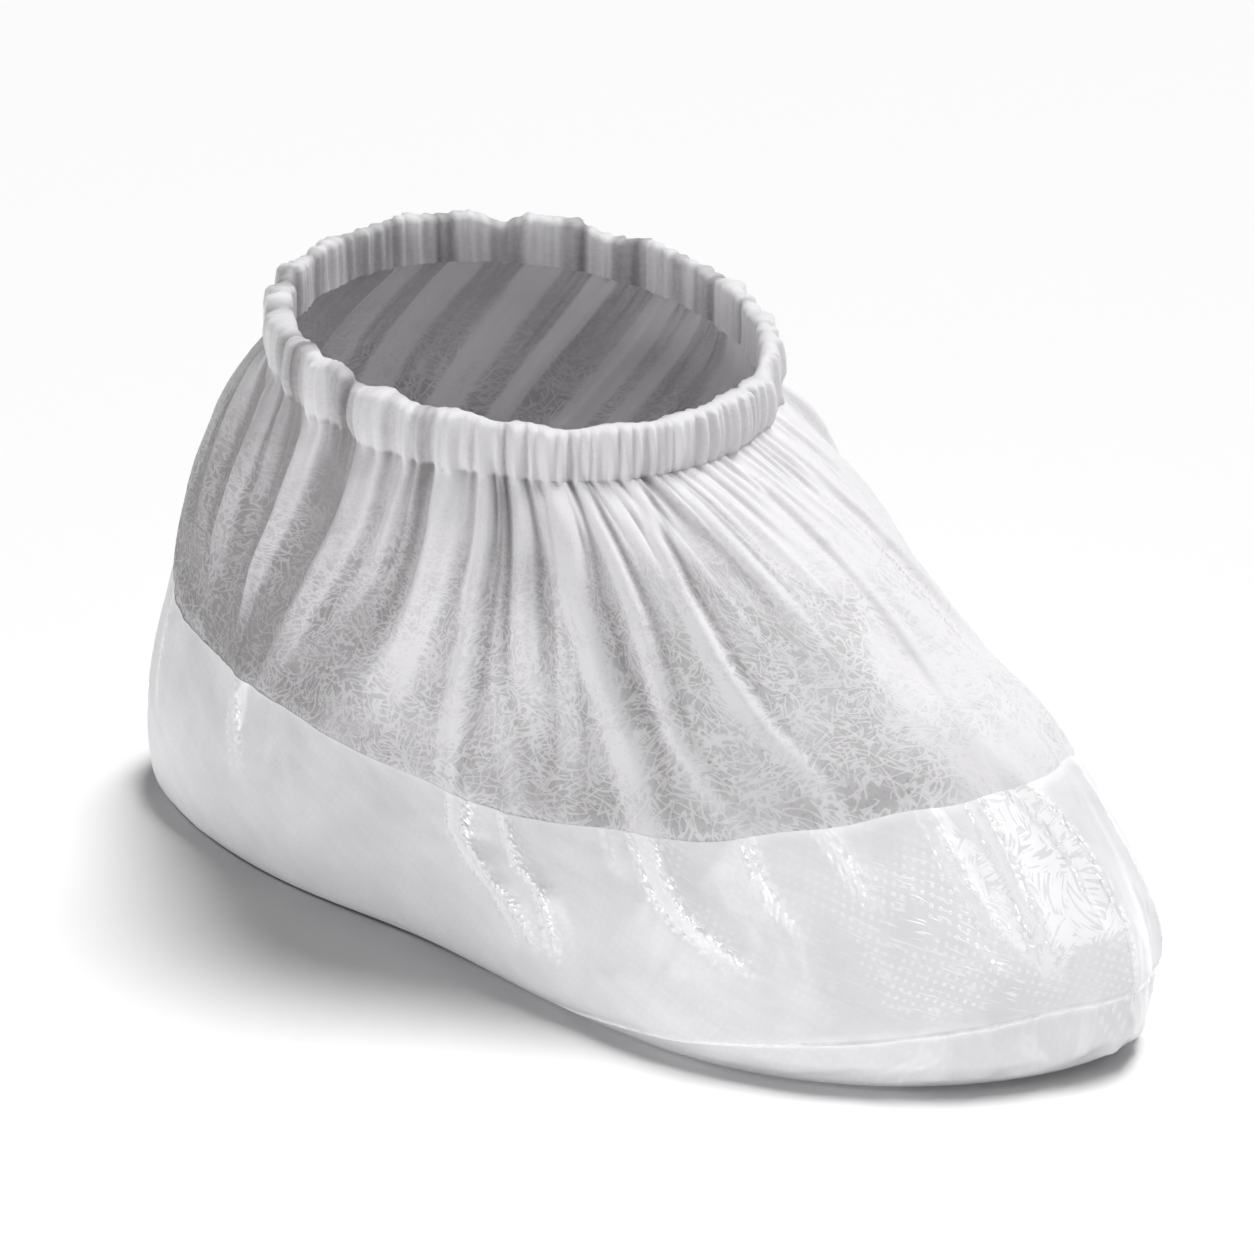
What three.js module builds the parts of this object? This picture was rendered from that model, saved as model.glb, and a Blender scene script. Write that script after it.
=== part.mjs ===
// Disposable shoe cover in its worn form: a nonwoven upper, gathered at the ankle by an elastic
// in a turned hem, lapped into a glossy film foot that wraps the sole and the lower sides.
// Millimetres. +X points to the toe, +Y to the inner side of the foot, +Z up from the floor.
import * as THREE from "three";

// Driving dimensions
const CLOTH_WALL = 1.2;
const FILM_WALL = 1.2;
const ELASTIC_WALL = 1.0;
const GAP = 0.5; // clearance between pieces that touch on the real cover
const LAP = 10; // how far the upper runs down inside the film's top edge
const HEM_HEIGHT = 14; // turned hem above the gather line
const ELASTIC_WIDTH = 7;
const CLOTH_COLUMNS = 144; // columns around the foot, of the gathered upper
const FILM_COLUMNS = 96;
const ELASTIC_COLUMNS = 72;

// Level heights at the middle of the foot, which name the levels of the table below
const SOLE = 0;
const EDGE = 8;
const SIDE = 30;
const FILM_EDGE = 48;
const MIDDLE = 84;
const HIGH = 115;
const GATHER = 143;
const HEM_TOP = GATHER + HEM_HEIGHT;

// One row for each level: an egg-shaped outline around the foot, seen from above.
// back, front, wide: x of the heel end, the toe end and the widest place
// outer, inner: half widths on the two sides; shift, tip: y of the middle line there and at the toe
// frontRound, backRound: 2 is an ellipse, more is squarer; waist: how far the arch draws the sides in
// zBack, zMid, zFront: height of the level at the heel, halfway and at the toe
const LEVELS = [
  { at: SOLE, back: -155.5, front: 155, wide: 58, outer: 59.5, inner: 49, shift: 0, tip: 12,
    frontRound: 1.95, backRound: 2.35, waist: 6, zBack: 0, zMid: 0, zFront: 2 },
  { at: EDGE, back: -157.5, front: 158, wide: 58, outer: 62, inner: 51, shift: 0, tip: 12,
    frontRound: 1.95, backRound: 2.35, waist: 5, zBack: 8, zMid: 8, zFront: 10 },
  { at: SIDE, back: -156, front: 156, wide: 45, outer: 60, inner: 51, shift: 0, tip: 12,
    frontRound: 1.95, backRound: 2.35, waist: 3, zBack: 36, zMid: 30, zFront: 39 },
  { at: FILM_EDGE, back: -149, front: 133, wide: 25, outer: 56, inner: 50, shift: 2, tip: 11,
    frontRound: 1.95, backRound: 2.3, waist: 1, zBack: 65, zMid: 48, zFront: 74 },
  { at: MIDDLE, back: -140, front: 102.5, wide: 5, outer: 57, inner: 52, shift: 3, tip: 9,
    frontRound: 1.95, backRound: 2.2, waist: 0, zBack: 96, zMid: 84, zFront: 94 },
  { at: HIGH, back: -119, front: 69, wide: -12, outer: 61, inner: 56, shift: 2, tip: 5,
    frontRound: 2, backRound: 2.1, waist: 0, zBack: 127, zMid: 115, zFront: 116 },
  { at: GATHER, back: -93, front: 34, wide: -30, outer: 64, inner: 64, shift: 0, tip: 0,
    frontRound: 2, backRound: 2, waist: 0, zBack: 152, zMid: 143, zFront: 134 },
];
const WAIST = { x: -25, length: 42 };
const TOE_SPRING = { from: 85, rise: 2 }; // the sole lifts off the floor ahead of this x

// The cloth fans out from the gathers: a thread lower down lies this many degrees further
// from the toe than where it meets the ankle, most of all at the middle of each side.
const FAN = { degrees: 41, skew: 0.73, curve: 1.2 };

// One row for each main gather of the outer side, in degrees from the toe around the ankle.
// depth: how far it stands proud; width: its half width in degrees; reach: how far down it runs
const GATHERS = [
  { at: 4, depth: 2.2, width: 5, reach: 88 },
  { at: 13, depth: 2.6, width: 5, reach: 60 },
  { at: 22, depth: 3.0, width: 5, reach: 70 },
  { at: 31, depth: 3.2, width: 4.5, reach: 92 },
  { at: 39, depth: 2.6, width: 4, reach: 50 },
  { at: 46, depth: 3.4, width: 4, reach: 94 },
  { at: 54, depth: 3.4, width: 4, reach: 90 },
  { at: 62, depth: 3.0, width: 4, reach: 78 },
  { at: 71, depth: 3.4, width: 5, reach: 84 },
  { at: 80, depth: 2.4, width: 4, reach: 55 },
  { at: 90, depth: 3.2, width: 5.5, reach: 88 },
  { at: 102, depth: 2.6, width: 5, reach: 58 },
  { at: 113, depth: 3.2, width: 6, reach: 84 },
  { at: 127, depth: 2.8, width: 6, reach: 70 },
  { at: 142, depth: 2.4, width: 6, reach: 56 },
  { at: 158, depth: 2.2, width: 6, reach: 48 },
  { at: 173, depth: 2.0, width: 6, reach: 40 },
];
const INNER_SIDE_OFFSET = 4; // degrees by which the inner side's gathers differ from the outer's

// Folds that run down into the loose film from the gathers above, one row for each.
// at: degrees from the toe along the film's edge, less than 0 on the outer side; depth: how far it
// stands proud; width: half width in degrees; reach: how far down; lean: degrees towards the toe
const FILM_FOLDS = [
  { at: -90, depth: 2.4, width: 7, reach: 36, lean: 9 },
  { at: -66, depth: 2.6, width: 7, reach: 40, lean: 14 },
  { at: -26, depth: 1.8, width: 8, reach: 34, lean: 4 },
  { at: -2, depth: 2.0, width: 6, reach: 46, lean: 0 },
  { at: 34, depth: 1.8, width: 8, reach: 34, lean: 5 },
  { at: 70, depth: 2.2, width: 7, reach: 36, lean: 10 },
  { at: 96, depth: 2.0, width: 7, reach: 34, lean: 8 },
];

const COLUMN_NAMES = Object.keys(LEVELS[0]).filter((name) => name !== "at");
const levelCurve = new THREE.CubicInterpolant(
  LEVELS.map((level) => level.at),
  LEVELS.flatMap((level) => COLUMN_NAMES.map((name) => level[name])),
  COLUMN_NAMES.length,
);

// The outline at any height, as an object with the table's columns.
function levelAt(height) {
  const values = levelCurve.evaluate(height);
  return Object.fromEntries(COLUMN_NAMES.map((name, i) => [name, values[i]]));
}

// A point of the smooth outer form; angle 0 is the toe and positive angles are the inner side.
function formPoint(angle, height) {
  const level = levelAt(Math.min(height, GATHER));
  const x = (level.front + level.back) / 2 + ((level.front - level.back) / 2) * Math.cos(angle);
  const isFront = x > level.wide;
  const round = isFront ? level.frontRound : level.backRound;
  const reach = isFront ? level.front - level.wide : level.wide - level.back;
  const share = Math.min(1, Math.abs(x - level.wide) / reach); // 0 at the widest place, 1 at the end
  const breadth = (1 - share ** round) ** (1 / round);
  const side = Math.sign(Math.sin(angle));
  const halfWidth = side > 0 ? level.inner : level.outer;
  const drawnIn = level.waist * Math.exp(-(((x - WAIST.x) / WAIST.length) ** 2));
  const middleLine = level.shift + (level.tip - level.shift) * (isFront ? share ** 2 : 0);
  const y = side * (halfWidth - drawnIn) * breadth + middleLine;
  const along = (x - level.back) / (level.front - level.back);
  const z = level.zBack * (1 - along) * (1 - 2 * along)
    + level.zMid * 4 * along * (1 - along) + level.zFront * along * (2 * along - 1);
  const hemRise = Math.max(0, height - GATHER); // the hem stands straight up from the gather line
  return new THREE.Vector3(x, y, height <= SOLE ? toeLift(x) : z + hemRise);
}

// The sole is flat from the heel to the ball and lifts a little towards the toe.
function toeLift(x) {
  const ahead = (x - TOE_SPRING.from) / (LEVELS[0].front - TOE_SPRING.from);
  return TOE_SPRING.rise * Math.max(0, ahead) ** 2;
}

// Where the thread that meets the ankle at this angle lies at this height.
function threadAngle(ankleAngle, height) {
  const share = Math.abs(ankleAngle) / Math.PI;
  const spread = Math.sin(Math.PI * share ** FAN.skew) ** 3 * Math.sign(ankleAngle);
  const down = THREE.MathUtils.clamp((GATHER - height) / (GATHER - FILM_EDGE), 0, 1);
  const drift = 1 - (1 - down) ** FAN.curve; // the threads part fastest just below the ankle
  return ankleAngle + THREE.MathUtils.degToRad(FAN.degrees) * spread * drift;
}

// Outward normal of the smooth form, across small steps around and up the wall.
function formNormal(angle, height) {
  const step = 0.02;
  const rise = 0.5;
  const around = formPoint(angle + step, height).sub(formPoint(angle - step, height));
  const up = formPoint(angle, Math.min(height + rise, HEM_TOP))
    .sub(formPoint(angle, Math.max(height - rise, SOLE + 0.01)));
  return around.cross(up).normalize();
}

const angleBetween = (a, b) => Math.abs(THREE.MathUtils.euclideanModulo(a - b + 180, 360) - 180);

// A rounded ridge: 1 on its line, 0 at its half width and beyond.
function ridge(distance, halfWidth) {
  return distance < halfWidth ? Math.cos((Math.PI / 2) * (distance / halfWidth)) ** 2 : 0;
}

// How far the gathers lift the cloth off the smooth form.
function gatherLift(ankleAngle, height) {
  const degrees = THREE.MathUtils.radToDeg(ankleAngle);
  let lift = 0;
  for (const side of [-1, 1]) {
    for (const { at, depth, width, reach } of GATHERS) {
      const centre = side < 0 ? -at : at + INNER_SIDE_OFFSET;
      const fade = 1 - THREE.MathUtils.smoothstep(GATHER - height, 0, reach);
      lift = Math.max(lift, depth * fade * ridge(angleBetween(degrees, centre), width));
    }
  }
  return lift;
}

// How far the folds lift the film off the smooth form.
function filmLift(filmAngle, height) {
  const degrees = THREE.MathUtils.radToDeg(filmAngle);
  const below = FILM_EDGE - height;
  let lift = 0;
  for (const { at, depth, width, reach, lean } of FILM_FOLDS) {
    const fade = 1 - THREE.MathUtils.smoothstep(below, 0, reach);
    const centre = at - Math.sign(at) * lean * (below / reach);
    lift = Math.max(lift, depth * fade * ridge(angleBetween(degrees, centre), width));
  }
  return lift;
}

// One ring of points around the foot, from a function of the angle.
function ring(columns, pointAt) {
  return Array.from({ length: columns }, (_, column) => {
    const turn = (column / columns) * 2 * Math.PI;
    return pointAt(turn > Math.PI ? turn - 2 * Math.PI : turn);
  });
}

// A point of a wall: lift raises it off the smooth form and inset is its depth below the outer face.
function wallPoint(angle, height, inset, lift = 0) {
  return formPoint(angle, height).addScaledVector(formNormal(angle, height), lift - inset);
}

// A ring of the upper, whose columns follow the threads; ripple scales its gathers.
function clothRing({ height, inset, ripple = 1 }) {
  return ring(CLOTH_COLUMNS, (ankleAngle) => {
    const lift = ripple * gatherLift(ankleAngle, height);
    return wallPoint(threadAngle(ankleAngle, height), height, inset, lift);
  });
}

// A closed surface through rings of points: the last ring joins the first, or both end in a pole.
function loft(rings, poles = []) {
  const points = rings.flat();
  const columns = rings[0].length;
  const faces = [];
  const quad = (a, b, c, d) => faces.push(a, b, c, a, c, d);
  const bands = poles.length ? rings.length - 1 : rings.length;
  for (let row = 0; row < bands; row++) {
    const next = (row + 1) % rings.length;
    for (let column = 0; column < columns; column++) {
      const beside = (column + 1) % columns;
      quad(row * columns + column, row * columns + beside,
        next * columns + beside, next * columns + column);
    }
  }
  poles.forEach((pole, end) => {
    const tip = points.push(pole) - 1;
    const start = end === 0 ? 0 : (rings.length - 1) * columns;
    for (let column = 0; column < columns; column++) {
      const pair = [start + column, start + ((column + 1) % columns)];
      faces.push(tip, ...(end === 0 ? pair.reverse() : pair));
    }
  });
  const geometry = new THREE.BufferGeometry().setFromPoints(points).setIndex(faces);
  geometry.computeVertexNormals();
  return geometry;
}

// The nonwoven upper: outer face from the lap to the hem, the turned hem, and the inner face back down.
function makeUpper() {
  const tucked = FILM_WALL + GAP;
  const outer = [
    { height: FILM_EDGE - LAP, inset: tucked },
    { height: FILM_EDGE, inset: tucked },
    { height: FILM_EDGE + 9, inset: 0 },
    { height: 75, inset: 0 },
    { height: 95, inset: 0 },
    { height: 114, inset: 0 },
    { height: 130, inset: 0 },
    { height: GATHER, inset: 0 },
    { height: HEM_TOP - 3, inset: 0 },
  ];
  const channel = CLOTH_WALL + ELASTIC_WALL + 2 * GAP; // from the outer face to the turned flap
  const flapFace = channel + CLOTH_WALL;
  const flapFoot = GATHER + 1.5;
  const roof = HEM_TOP - CLOTH_WALL;
  const hem = [
    { height: HEM_TOP, inset: 1.4, ripple: 0.8 },
    { height: HEM_TOP, inset: flapFace - 1.4, ripple: 0 },
    { height: HEM_TOP - 3, inset: flapFace, ripple: -0.3 },
    { height: flapFoot, inset: flapFace, ripple: -0.3 },
    { height: flapFoot, inset: channel, ripple: -0.3 },
    { height: HEM_TOP - 3, inset: channel, ripple: -0.3 },
    { height: roof, inset: channel - 0.8, ripple: 0 },
    { height: roof, inset: CLOTH_WALL + 0.4, ripple: 0.8 },
  ];
  const inner = outer.toReversed().map(({ height, inset }) => ({ height, inset: inset + CLOTH_WALL }));
  const rows = [...outer, ...hem, ...inner];
  return loft(rows.map(clothRing));
}

// The film foot: a tray whose sole is flat on the floor, open at its top edge.
function makeFilmFoot() {
  const heights = [3, EDGE, 18, 28, FILM_EDGE - LAP, FILM_EDGE];
  const soleMiddle = 0.6; // size of the ring halfway in from the sole's rim
  const innerRim = 0.975; // the inside of the sole is this much smaller
  const soleRing = (scale, lift) => ring(FILM_COLUMNS, (angle) => {
    const { x, y } = formPoint(angle, SOLE);
    return new THREE.Vector3(x * scale, y * scale, toeLift(x * scale) + lift);
  });
  const sideRing = (height, inset) => ring(FILM_COLUMNS, (angle) => (
    wallPoint(angle, height, inset, filmLift(angle, height))
  ));
  const rings = [
    soleRing(soleMiddle, 0),
    soleRing(1, 0),
    ...heights.map((height) => sideRing(height, 0)),
    ...heights.toReversed().map((height) => sideRing(height, FILM_WALL)),
    soleRing(innerRim, FILM_WALL),
    soleRing(soleMiddle, FILM_WALL),
  ];
  return loft(rings, [new THREE.Vector3(0, 0, 0), new THREE.Vector3(0, 0, FILM_WALL)]);
}

// The flat elastic that lies in the turned hem and draws the cloth in.
function makeElastic() {
  const outside = CLOTH_WALL + GAP;
  const inside = outside + ELASTIC_WALL;
  const low = GATHER + (HEM_HEIGHT - ELASTIC_WIDTH) / 2;
  const high = low + ELASTIC_WIDTH;
  const band = (height, inset) => ring(ELASTIC_COLUMNS, (angle) => wallPoint(angle, height, inset));
  return loft([band(low, outside), band(high, outside), band(high, inside), band(low, inside)]);
}

function piece(name, geometry, colour, roughness) {
  const material = new THREE.MeshStandardMaterial({ color: colour, roughness, metalness: 0 });
  const mesh = new THREE.Mesh(geometry, material);
  mesh.name = name;
  return mesh;
}

const cover = new THREE.Group();
cover.add(piece("upper", makeUpper(), 0xe4e3e5, 0.75));
cover.add(piece("film_foot", makeFilmFoot(), 0xeeeef1, 0.25));
cover.add(piece("ankle_elastic", makeElastic(), 0xf2f1ee, 0.85));

// The origin is on the floor under the middle of the cover.
const box = new THREE.Box3().setFromObject(cover);
const middle = box.getCenter(new THREE.Vector3());
cover.position.set(-middle.x, -middle.y, -box.min.z);

const part = new THREE.Group();
part.add(cover);
export default part;
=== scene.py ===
import math
import bpy
import numpy as np
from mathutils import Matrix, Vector


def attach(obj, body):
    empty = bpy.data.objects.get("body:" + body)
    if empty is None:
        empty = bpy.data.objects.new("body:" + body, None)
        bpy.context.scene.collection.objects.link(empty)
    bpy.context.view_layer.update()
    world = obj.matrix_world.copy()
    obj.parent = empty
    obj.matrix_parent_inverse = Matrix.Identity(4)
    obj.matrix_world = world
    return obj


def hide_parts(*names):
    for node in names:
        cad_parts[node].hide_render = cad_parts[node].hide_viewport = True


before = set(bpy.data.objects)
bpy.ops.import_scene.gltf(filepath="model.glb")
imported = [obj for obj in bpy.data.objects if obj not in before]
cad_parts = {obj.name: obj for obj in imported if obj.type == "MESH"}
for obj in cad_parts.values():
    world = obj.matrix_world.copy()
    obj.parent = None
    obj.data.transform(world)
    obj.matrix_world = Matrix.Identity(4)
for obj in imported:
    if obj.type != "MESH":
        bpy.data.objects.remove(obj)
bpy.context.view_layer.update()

scene = bpy.context.scene
toRow = np.array([-0.992, 0.233, 0.0])  # mm, from the ankle's own origin to the frame's
filmTop, gatherLine = 48.0, 143.0  # mm, heights at the middle of the cover
print("frame loaded")

# the cover's smooth form: a row per level, in mm
# middle height, heel, toe, widest place, half width outside, inside, middle line there, at the toe,
# roundness front, back, arch, height at the heel, halfway, at the toe
coverLevels = np.array([
    (0, -155.5, 155, 58, 59.5, 49, 0, 12, 1.95, 2.35, 6, 0, 0, 2),    # sole
    (8, -157.5, 158, 58, 62, 51, 0, 12, 1.95, 2.35, 5, 8, 8, 10),     # edge of the sole
    (30, -156, 156, 45, 60, 51, 0, 12, 1.95, 2.35, 3, 36, 30, 39),    # side
    (48, -149, 133, 25, 56, 50, 2, 11, 1.95, 2.3, 1, 65, 48, 74),     # top of the film
    (84, -140, 102.5, 5, 57, 52, 3, 9, 1.95, 2.2, 0, 96, 84, 94),     # middle of the upper
    (115, -119, 69, -12, 61, 56, 2, 5, 2, 2.1, 0, 127, 115, 116),     # below the ankle
    (143, -93, 34, -30, 64, 64, 0, 0, 2, 2, 0, 152, 143, 134),        # gather line
], float)
soleForm = {"archAt": -25, "archLength": 42, "toeFrom": 85, "toeLength": 70, "toeRise": 2}  # mm
fanOut = {"turn": math.radians(41), "lean": 0.73, "sharp": 3, "ease": 1.2}  # how the threads spread
waves = {"count": 26, "spread": (0.7, 1.6), "even": 4.2, "radius": 92.0}  # that make a random field


def step(low, high, value):
    t = np.clip((value - low) / (high - low), 0, 1)
    return t * t * (3 - 2 * t)


def bell(value, centre, width):
    return np.exp(-((value - centre) / width) ** 2)


# sharp lines where a smooth field crosses its middle
def ridges(field, width):
    return np.clip(1 - np.abs(field) / width, 0, 1)


def levelAt(height):
    at = coverLevels[:, 0]
    slopes = np.diff(coverLevels, axis=0) / np.diff(at)[:, None]
    tangents = np.vstack([slopes[:1], (slopes[1:] + slopes[:-1]) / 2, slopes[-1:]])
    height = np.clip(height, at[0], at[-1])
    i = np.clip(np.searchsorted(at, height, side="right") - 1, 0, len(at) - 2)
    span = (at[i + 1] - at[i])[..., None]
    p = ((height - at[i]) / (at[i + 1] - at[i]))[..., None]
    row = (2 * p**3 - 3 * p**2 + 1) * coverLevels[i] + (p**3 - 2 * p**2 + p) * tangents[i] * span
    row = row + (3 * p**2 - 2 * p**3) * coverLevels[i + 1] + (p**3 - p**2) * tangents[i + 1] * span
    return np.moveaxis(row, -1, 0)


def soleRise(x):
    return soleForm["toeRise"] * np.maximum(0, (x - soleForm["toeFrom"]) / soleForm["toeLength"]) ** 2


# a point of the smooth form; angle 0 is the toe, positive angles are the inner side
def form(angle, height):
    (_, back, front, wide, outer, inner, shift, tip,
     roundFront, roundBack, waist, zBack, zMid, zFront) = levelAt(height)
    x = (front + back) / 2 + (front - back) / 2 * np.cos(angle)
    ahead = x > wide
    n = np.where(ahead, roundFront, roundBack)
    share = np.minimum(1, np.abs(x - wide) / np.where(ahead, front - wide, wide - back))
    side = np.sign(np.sin(angle))
    half = np.where(side > 0, inner, outer) - waist * bell(x, soleForm["archAt"], soleForm["archLength"])
    y = side * half * (1 - share**n) ** (1 / n) + shift + (tip - shift) * np.where(ahead, share**2, 0)
    m = (x - back) / (front - back)
    z = zBack * (1 - m) * (1 - 2 * m) + zMid * 4 * m * (1 - m) + zFront * m * (2 * m - 1)
    z = np.where(height <= 0, soleRise(x), z)
    return np.stack([x, y, z + np.maximum(0, height - gatherLine)], -1)


def outward(angle, height):
    turn, rise, lowest = 0.02, 0.5, 0.01  # small steps along the form
    around = form(angle + turn, height) - form(angle - turn, height)
    up = form(angle, height + rise) - form(angle, np.maximum(height - rise, lowest))
    normal = np.cross(around, up)
    return normal / np.linalg.norm(normal, axis=-1, keepdims=True)


# the threads fan out below the ankle, most of all at the middle of each side
def threadAngle(ankle, height):
    fan = np.sin(math.pi * (np.abs(ankle) / math.pi) ** fanOut["lean"]) ** fanOut["sharp"] * np.sign(ankle)
    down = np.clip((gatherLine - height) / (gatherLine - filmTop), 0, 1)
    return ankle + fanOut["turn"] * fan * (1 - (1 - down) ** fanOut["ease"])


ankleTurn = np.linspace(-math.pi, math.pi, 1441)
filmTurn = threadAngle(ankleTurn, np.full_like(ankleTurn, filmTop))  # the same threads at the film's edge


def apart(degrees, centre):
    return (degrees - centre + 180) % 360 - 180


# a smooth random field without a seam, about -1 to 1, with bumps of about this size in mm
def bumps(angle, along, size, seed, stretch=1.0):
    pick = np.random.default_rng(seed)
    points = np.stack([waves["radius"] * np.cos(angle), waves["radius"] * np.sin(angle), along / stretch], -1)
    total = 0
    for _ in range(waves["count"]):
        way = pick.normal(size=3)
        way *= 2 * math.pi / (size * pick.uniform(*waves["spread"])) / np.linalg.norm(way)
        total = total + np.sin(points @ way + pick.uniform(0, 2 * math.pi))
    return total / waves["even"]


# main folds of the upper: degrees at the ankle (outer side below 0) and at the film's edge, half width
# at each, rise in mm, reach down in mm, strength of the painted highlight and shade, steep side (1 toe, -1
# heel, 0 even)
mainFolds = [
    (-172, -172, 4.0, 4.0, 1.8, 55, 0.5, 0), (-158, -158, 4.2, 4.2, 2.2, 66, 0.6, 0),
    (-142, -142, 4.2, 4.2, 2.4, 80, 0.7, -1), (-127, -127, 4.4, 4.4, 2.8, 92, 0.8, -1),
    (-115, -115, 2.4, 2.4, 1.6, 60, 0.5, 0), (-105, -106, 3.6, 3.2, 3.2, 100, 1.0, -1),
    (-87, -87, 4.0, 3.0, 3.6, 102, 1.0, -1), (-75.5, -77, 1.7, 1.6, 2.2, 66, 0.7, 1),
    (-67.5, -65, 3.0, 2.4, 3.6, 90, 1.0, -1), (-32, -33, 1.2, 1.2, 1.6, 44, 0.6, 1),
    (-18, -20, 1.4, 1.2, 1.6, 50, 0.6, 0), (3, -14, 1.4, 1.2, 1.4, 104, 0.5, 1),
    (20, 12, 2.6, 2.4, 2.2, 90, 0.7, 1), (33, 32, 2.4, 2.2, 2.8, 92, 0.8, -1),
    (44, 41, 2.2, 1.6, 3.6, 112, 1.0, 1), (53, 52, 1.8, 1.6, 2.8, 80, 0.9, 1),
    (60, 58, 2.2, 1.7, 3.2, 100, 0.9, -1), (73, 71, 3.0, 2.4, 3.4, 92, 1.0, -1),
    (85, 86, 2.0, 2.0, 2.2, 60, 0.7, 1), (97, 97, 3.6, 3.0, 3.2, 96, 1.0, -1),
    (112, 112, 3.0, 3.0, 2.6, 74, 0.8, 0), (128, 128, 4.2, 4.0, 3.0, 90, 0.9, -1),
    (145, 145, 4.2, 4.2, 2.4, 68, 0.7, 0), (160, 160, 4.2, 4.2, 2.0, 54, 0.6, 0),
]
# folds that bend on their way down: the line as height, degrees at the ankle, then as above
bentFolds = [
    ([(48, -54), (58, -54.5), (71, -55.2), (84, -56.2), (100, -57), (110, -57.5), (143, -57.6)],
     1.8, 0.9, 3.4, 112, 1.0, 1),
    ([(48, -47.6), (53, -48), (60, -49), (73, -50.8), (87, -52.8), (100, -54), (143, -55)],
     0.9, 0.7, 1.5, 112, 0.5, 1),
    ([(66, -48.4), (78, -49.2), (89, -50.3), (101, -51), (113, -51.5), (143, -51.4)],
     1.7, 1.3, 2.6, 76, 0.85, 0),
    ([(48, -44.2), (57, -44.5), (66, -44.8), (76, -45), (84, -45.8), (143, -47.4)],
     1.1, 0.8, 1.6, 112, 0.45, 0),
    ([(48, -38.2), (58, -38.8), (74, -40), (94, -42.4), (113, -44), (129, -43.4), (143, -42.4)],
     2.2, 1.0, 4.0, 118, 1.1, 1),
    ([(48, -32.2), (57, -33.8), (64, -34.8), (71, -35.8), (83, -36.9), (111, -37.2), (133, -38), (143, -37)],
     1.3, 0.45, 2.2, 118, 0.8, 1),
    ([(48, -25.6), (61, -27), (72, -28.6), (81, -29.6), (94, -30.6), (114, -30.8), (127, -29.4), (143, -25)],
     1.5, 0.8, 2.4, 108, 0.85, 1),
]
# what all these folds share, with their painted highlights and shade; fades are in shares of a fold's
# reach, and places across it, each with its width, in half widths from the crest
foldShape = {
    "steep": 0.45,  # how much narrower the steep side is
    "flat": 3.0, "sharper": 1.3, "sharpFrom": 55,  # flat pleats at the top, ridges lower down
    "fade": (0.4, 1.0), "whiteFade": (0.5, 1.15), "darkFade": (0.35, 1.0),
    # painted highlight on each crest and its edges, painted shade in the valley beside it and its core
    "crestWhite": 0.75, "edgeWhite": 0.45, "edge": (0.85, 0.22),
    "valleyDark": 0.65, "valley": (1.6, 0.7), "coreDark": 0.6, "core": (1.45, 0.25),
}
# folds drawn at random: low and high ends of their sizes in degrees and mm; the painted shade of the gaps is
# weight, depth in mm
thinFolds = {
    "seed": 5, "every": 9.0, "shift": 3, "lean": 2, "blunt": 1.8, "fade": (0.3, 1.0),
    "width": (0.7, 1.2), "rise": (0.6, 1.4), "reach": (24, 75),
}
gatherPleats = {
    "every": (2.8, 4.4), "blunt": 2.2, "fade": (0.3, 1.0), "gaps": [(0.6, 9), (0.9, 2)], "lessOnFaces": 0.8,
    "width": (0.8, 1.3), "rise": (0.9, 2.0), "reach": (9, 30),
}
# creases of the film: rise in mm, half width in degrees towards the heel and the toe, reach up into
# the upper in mm, and the line itself as height, degrees
filmCreases = [
    (1.8, 3.0, 3.5, 12, [(48, -88.2), (39, -89.4), (33, -87.5), (27, -84.4), (21, -82.2), (16, -81)]),
    (1.5, 1.3, 3.0, 8, [(48, -83.2), (42, -83), (36, -82.4), (33, -80.5), (26, -79.8), (15, -78)]),
    (0.8, 1.2, 2.0, 4, [(48, -69.4), (40, -69.6)]),
    (2.2, 3.6, 5.0, 10, [(48, -63.2), (40, -63), (36, -62.4), (33, -61), (30, -58.4), (25, -55.4)]),
    (1.2, 1.4, 3.0, 24, [(57, -55.8), (48, -51.6), (41, -51.7), (38, -51), (34, -48.8)]),
    (0.9, 2.2, 2.0, 4, [(48, -42), (36, -39)]),
    (1.0, 2.4, 1.6, 5, [(48, -28), (39, -27.2), (32, -25), (27, -20)]),
    (1.8, 3.0, 5.0, 6, [(48, -19.5), (38, -19.2), (30, -18.8), (24, -17.5)]),
    (1.8, 4.5, 6.5, 6, [(48, -11), (43, -8), (40, -6.2), (29, -4.6)]),
    (2.2, 9.0, 11.0, 0, [(31, -4.2), (18, -4.5), (3, 1)]),
    (0.6, 3.4, 2.4, 0, [(10, -33), (6, -36), (-8, -40)]),
    (0.6, 2.4, 3.4, 0, [(11, -21), (7, -18.6), (-8, -16)]),
    (0.55, 2.4, 2.6, 0, [(11, -11), (7, -11.4), (-8, -15)]),
    (1.0, 4.0, 4.0, 4, [(48, 8), (30, 12), (16, 15)]), (1.4, 3.0, 3.0, 8, [(48, 33), (24, 28)]),
    (1.1, 2.0, 2.0, 6, [(48, 52), (24, 45)]), (2.2, 1.7, 2.4, 18, [(48, 68), (30, 64), (20, 56)]),
    (1.2, 1.6, 2.0, 6, [(48, 76), (26, 68)]), (1.8, 1.8, 2.4, 14, [(48, 98), (18, 91)]),
    (0.6, 2.2, 2.2, 8, [(48, -128), (26, -124)]), (1.0, 2.6, 2.6, 8, [(48, -152), (26, -150)]),
    (1.2, 2.4, 2.4, 8, [(48, 134), (24, 130)]), (0.9, 2.8, 2.8, 8, [(48, 166), (28, 165)]),
]
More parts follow.
